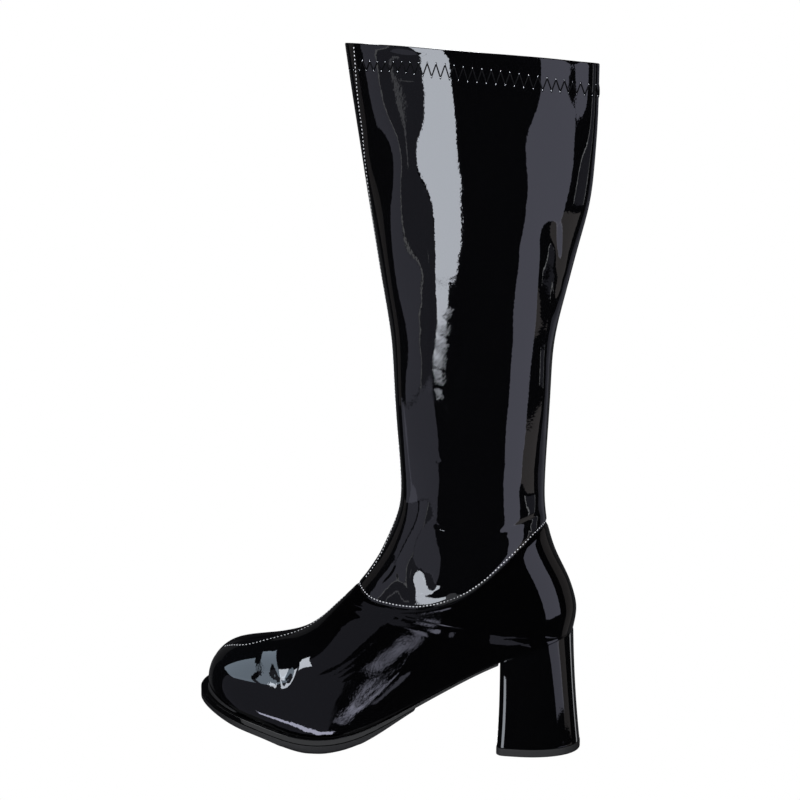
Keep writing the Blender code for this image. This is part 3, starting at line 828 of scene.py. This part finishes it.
shaft, ankle_seam = make_shaft()
upper = make_upper(ankle_seam)
make_lining("shaft_lining", "shaft", HEM_FOLD - 1.0)
make_lining("upper_lining", "upper", 0)
make_plate("welt_rim", "midsole", WELT, "welt", 1.1)
make_plate("tread_sole", "outsole", RUBBER, "tread", 0.7)
heel = make_plate("heel_block", "heel", HEEL_PATENT, "heel_cover", 0.6)
make_plate("heel_lift", "top_lift", LIFT_RUBBER, "lift", 0.35)
make_plate("sock", "insole", SOCK, "sock_lining", 0.8)
shaft_tree = tree_of(shaft.data)
upper_tree = tree_of(upper.data)


# Seams and stitches

def bead(form, spot, normal, along, size):
    """Adds a small oval bead lying on a surface: size is its length, width and height in millimetres."""
    side = normal.cross(along).normalized()
    along = side.cross(normal)
    frame_of = Matrix((along * size[0], side * size[1], normal * size[2])).transposed().to_4x4()
    frame_of.translation = spot
    bmesh.ops.create_uvsphere(form, u_segments=6, v_segments=4, radius=MM / 2, matrix=frame_of)


def make_stitches(name, tree, line):
    """A row of short stitches on a skin, along a line in millimetres."""
    form = bmesh.new()
    marks = spaced(line, STITCH_PITCH, STITCH_PITCH / 2)
    for here, ahead in zip(marks, marks[1:]):
        spot, normal, _, _ = tree.find_nearest(place(*here))
        bead(form, spot, normal, Vector(ahead - here).normalized(), STITCH_SIZE)
    new_piece(name, mesh_of(name, form), GLINT_PAINTED_THREAD, "patent")


def front_line(tree, places):
    """A line on a skin seen from the front, through places given as y, z."""
    found = [tree.ray_cast(place(-FAR_OFF, y, z), Vector((1, 0, 0)))[0] for y, z in smooth_path(places, 8)]
    return np.array([spot for spot in found if spot]) / MM


def top_line(tree, places):
    """A line on a skin seen from above, through places given as x, y."""
    found = [tree.ray_cast(place(x, y, FAR_OFF), Vector((0, 0, -1)))[0] for x, y in smooth_path(places, 8)]
    return np.array([spot for spot in found if spot]) / MM


def make_hem_stitch():
    """The zigzag of the hem: its thread, and a pucker at each needle point. Returns the puckers."""
    table = np.array(HEM_TABLE)
    round_hem = []
    for angle in np.linspace(0, 2 * math.pi, 361):
        way = Vector((math.cos(angle), math.sin(angle), 0))
        spot = shaft_tree.ray_cast(place(*HEM_MIDDLE) + way * FAR_OFF * MM, -way)[0]
        round_hem.append(spot / MM)
    round_hem = np.array(round_hem)
    length = np.linalg.norm(np.diff(round_hem, axis=0), axis=1).sum()
    count = 2 * round(length / ZIGZAG_PITCH)
    marks = spaced(round_hem, length / count)[:count]
    thread = bpy.data.curves.new("hem_zigzag", "CURVE")
    thread.dimensions = "3D"
    thread.bevel_depth = ZIGZAG_THREAD * MM
    thread.bevel_resolution = 1
    spline = thread.splines.new("POLY")
    spline.use_cyclic_u = True
    form = bmesh.new()
    needle = []
    for k, mark in enumerate(marks):
        mark[2] = np.interp(mark[0], table[:, 0], table[:, 1 + k % 2])
        spot, normal, _, _ = shaft_tree.find_nearest(place(*mark))
        needle.append((spot, normal))
        bead(form, spot, normal, Vector((0, 0, 1)), PUCKER_SIZE)
    legs = []
    for (spot, normal), (after, _) in zip(needle, needle[1:] + needle[:1]):
        legs.append(spot - normal * ZIGZAG_THREAD * 0.5 * MM)
        for share in (0.15, 0.5, 0.85):
            on_skin, up, _, _ = shaft_tree.find_nearest(spot.lerp(after, share))
            legs.append(on_skin + up * ZIGZAG_THREAD * 0.6 * MM)
    spline.points.add(len(legs) - 1)
    for point, spot in zip(spline.points, legs):
        point.co = (*spot, 1)
    holder = bpy.data.objects.new("hem_zigzag_curve", thread)
    bpy.context.scene.collection.objects.link(holder)
    mesh = bpy.data.meshes.new_from_object(holder.evaluated_get(bpy.context.evaluated_depsgraph_get()))
    bpy.data.objects.remove(holder)
    new_piece("hem_zigzag", mesh, DARK_THREAD, "patent")
    return new_piece("hem_puckers", mesh_of("hem_puckers", form), PATENT, "patent")


puckers = make_hem_stitch()
make_stitches("stitches_ankle", shaft_tree, ankle_seam + np.array((0, 0, SEAM_TO_STITCH)))
make_stitches("stitches_front", shaft_tree, front_line(shaft_tree, FRONT_ROW))
make_stitches("stitches_vamp", upper_tree, top_line(upper_tree, VAMP_ROW))


# Stage, light and camera

def aimed(item, where, target):
    """Puts an object at a place, looking at a target, both in millimetres."""
    item.location = place(*where)
    item.rotation_euler = (place(*target) - place(*where)).to_track_quat("-Z", "Y").to_euler()
    bpy.context.scene.collection.objects.link(item)


def lit_alone(name, pieces):
    """A collection of pieces that a light can be kept to."""
    listed = bpy.data.collections.new(name)
    for piece in pieces:
        listed.objects.link(piece)
    return listed


def softbox(name, pieces, left, right, low, high, glow, color):
    """A plain soft light seen from the boot between two azimuths and two elevations, in degrees.

    Azimuth 0 is +X and -90 the camera's side. The light is so far away that it looks the same from all over
    the boot.
    """
    light = bpy.data.lights.new(name, "AREA")
    light.shape = "RECTANGLE"
    light.size = 2 * LIGHT_DISTANCE * math.tan(math.radians(right - left) / 2) * MM
    light.size_y = 2 * LIGHT_DISTANCE * math.tan(math.radians(high - low) / 2) * MM
    light.energy = glow * math.pi * light.size * light.size_y
    light.color = color
    item = bpy.data.objects.new(name, light)
    azimuth = math.radians((left + right) / 2)
    elevation = math.radians((low + high) / 2)
    way = np.array([math.cos(azimuth) * math.cos(elevation), math.sin(azimuth) * math.cos(elevation),
                    math.sin(elevation)])
    aimed(item, np.array(LIGHT_AIM) + way * LIGHT_DISTANCE, LIGHT_AIM)
    item.visible_camera = False
    item.light_linking.receiver_collection = pieces


def near_strip(name, pieces, ahead, where, start, end, width, glow, color):
    """A soft strip light close to the boot, facing it from beside or from over the toe.

    Each one stands a hair's breadth ahead of the one before, because of two in one plane only one would
    shine.
    """
    light = bpy.data.lights.new(name, "AREA")
    light.shape = "RECTANGLE"
    across = end[0] - start[0]
    up = end[1] - start[1]
    light.size = math.hypot(across, up) * MM
    light.size_y = width * MM
    light.energy = glow * math.pi * light.size * light.size_y
    light.color = color
    item = bpy.data.objects.new(name, light)
    x = (start[0] + end[0]) / 2
    other = (start[1] + end[1]) / 2
    if where == "beside":
        aimed(item, (x, BESIDE + ahead, other), (x, 0, other))
    else:
        aimed(item, (x, other, OVER - ahead), (x, other, 0))
    item.rotation_euler.rotate_axis("Z", math.atan2(up, across))
    item.visible_camera = False
    item.light_linking.receiver_collection = pieces


def make_stage():
    """A plain pale floor."""
    form = bmesh.new()
    bmesh.ops.create_grid(form, x_segments=1, y_segments=1, size=6.0)
    mesh = mesh_of("floor", form)
    material, shader = new_material("pale_floor", (0.9, 0.9, 0.9), 0.8, Specular_IOR_Level=0.0)
    mesh.materials.append(material)
    floor = bpy.data.objects.new("floor", mesh)
    bpy.context.scene.collection.objects.link(floor)
    tree = material.node_tree
    glow = tree.nodes.new("ShaderNodeEmission")
    glow.inputs["Color"].default_value = (1, 1, 1, 1)
    glow.inputs["Strength"].default_value = 1.0
    path = tree.nodes.new("ShaderNodeLightPath")
    mix = tree.nodes.new("ShaderNodeMixShader")
    tree.links.new(path.outputs["Is Camera Ray"], mix.inputs["Fac"])
    tree.links.new(shader.outputs["BSDF"], mix.inputs[1])
    tree.links.new(glow.outputs["Emission"], mix.inputs[2])
    tree.links.new(mix.outputs["Shader"], tree.nodes["Material Output"].inputs["Surface"])
    floor.visible_glossy = False
    floor.visible_shadow = False


def make_world():
    """White to the camera, dim to reflections."""
    world = bpy.data.worlds.new("studio")
    bpy.context.scene.world = world
    world.use_nodes = True
    tree = world.node_tree
    ground = tree.nodes["Background"]
    ground.inputs["Color"].default_value = (0.012, 0.012, 0.014, 1)
    white = tree.nodes.new("ShaderNodeBackground")
    white.inputs["Color"].default_value = (1, 1, 1, 1)
    path = tree.nodes.new("ShaderNodeLightPath")
    mix = tree.nodes.new("ShaderNodeMixShader")
    tree.links.new(path.outputs["Is Camera Ray"], mix.inputs["Fac"])
    tree.links.new(ground.outputs["Background"], mix.inputs[1])
    tree.links.new(white.outputs["Background"], mix.inputs[2])
    tree.links.new(mix.outputs["Shader"], tree.nodes["World Output"].inputs["Surface"])


def make_camera():
    """The photograph's own view."""
    data = bpy.data.cameras.new("photo_camera")
    data.lens = CAMERA_LENS
    data.sensor_width = 36.0
    data.clip_start = 0.01
    camera = bpy.data.objects.new("photo_camera", data)
    aimed(camera, CAMERA_PLACE, CAMERA_AIM)
    bpy.context.scene.camera = camera


make_stage()
make_world()
make_camera()
trim = [item for item in bpy.context.scene.objects if item.type == "MESH" and not item.hide_render
        and item not in (shaft, upper, heel, puckers)]
for title, table, strips, pieces in (
        ("leg", LEG_LIGHTS, ANKLE_STRIPS, [shaft]), ("foot", FOOT_LIGHTS, FOOT_STRIPS, [upper]),
        ("heel", HEEL_LIGHTS, [], [heel]), ("trim", TRIM_LIGHTS, [], trim),
        ("pucker", PUCKER_LIGHTS, [], [puckers]), ("studio", ALL_ROUND_LIGHTS, [], [shaft, upper, heel])):
    lit = lit_alone(title + "_side", pieces)
    for name, *row in table:
        softbox(title + "_" + name, lit, *row)
    for number, (name, *row) in enumerate(strips):
        near_strip(title + "_near_" + name, lit, number * STRIP_STEP, *row)
bpy.context.scene.view_settings.view_transform = "Standard"
